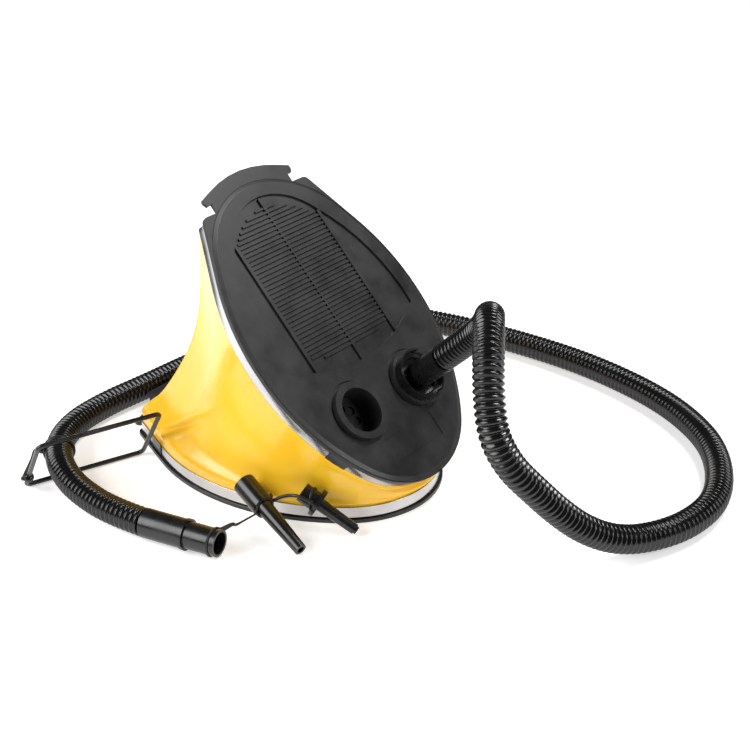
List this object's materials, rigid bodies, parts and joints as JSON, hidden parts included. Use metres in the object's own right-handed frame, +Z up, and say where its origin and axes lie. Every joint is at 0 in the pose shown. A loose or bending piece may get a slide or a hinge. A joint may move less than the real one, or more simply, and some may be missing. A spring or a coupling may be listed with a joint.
{
  "type": "foot air pump",
  "caption": "Foot-operated bellows air pump with a hinged tread pedal, two valved ports, a corrugated hose with tethered nozzles and a wire latch loop.",
  "frame": {"origin": "middle of the base plate's flat underside, on the floor", "axes": "+X towards the hinge and the ports, +Z up, +Y across, so that the intake port is on the -Y side"},
  "size_m": [0.5314, 0.4915, 0.245],
  "materials": {
    "black_plastic": "satin moulded",
    "band_steel": "bright rolled",
    "clip_steel": "dark crimped",
    "hinge_steel": "zinc plated",
    "spring_steel": "oiled",
    "bellows_vinyl": "glossy sheet",
    "valve_plastic": "satin",
    "flap_rubber": "matt",
    "fitting_plastic": "semi-gloss",
    "hose_plastic": "semi-gloss corrugated",
    "tether_rubber": "satin",
    "latch_wire": "black coated"
  },
  "bodies": {
    "base": {"base_plate": "black_plastic", "base_band": "band_steel", "base_band_clip": "clip_steel", "base_hinge_leaf": "hinge_steel", "base_hinge_screws": "hinge_steel", "hinge_pin": "hinge_steel", "return_spring": "spring_steel", "bellows": "bellows_vinyl", "hose": "hose_plastic", "hose_end_cuff": "fitting_plastic", "hose_tie": "tether_rubber", "adapter_cone": "fitting_plastic", "adapter_nozzle": "fitting_plastic", "adapter_tether": "tether_rubber"},
    "pedal": {"pedal_plate": "black_plastic", "pedal_band": "band_steel", "pedal_band_clip": "clip_steel", "pedal_hinge_leaf": "hinge_steel", "pedal_hinge_screws": "hinge_steel", "intake_grille": "valve_plastic", "outlet_grille": "valve_plastic", "hose_connector": "fitting_plastic", "connector_seal": "flap_rubber"},
    "intake_flap": {"intake_flap": "flap_rubber"},
    "outlet_flap": {"outlet_flap": "flap_rubber"},
    "latch_loop": {"latch_loop": "latch_wire"}
  },
  "joints": [
    {"name": "pedal_hinge", "type": "hinge", "parent": "base", "child": "pedal", "pos_m": [0.133, 0, 0.025], "axis": [0, 1, 0], "range_deg": [-45, 0], "stiffness_Nm_per_rad": 2, "springref_deg": 20.05, "deforming": ["bellows", "return_spring", "hose"]},
    {"name": "intake_flap_lift", "type": "slide", "parent": "pedal", "child": "intake_flap", "axis": [-0.7193, 0, -0.6947], "range_m": [0, 0.003], "stiffness_N_per_m": 20},
    {"name": "outlet_flap_lift", "type": "slide", "parent": "pedal", "child": "outlet_flap", "axis": [0.7193, 0, 0.6947], "range_m": [0, 0.003], "stiffness_N_per_m": 20},
    {"name": "latch_loop_tilt", "type": "hinge", "parent": "base", "child": "latch_loop", "pos_m": [-0.098, -0.085, 0.002], "axis": [0.3453, 0.9385, 0], "range_deg": [-40, 24], "deforming": ["hose_tie"]}
  ]
}
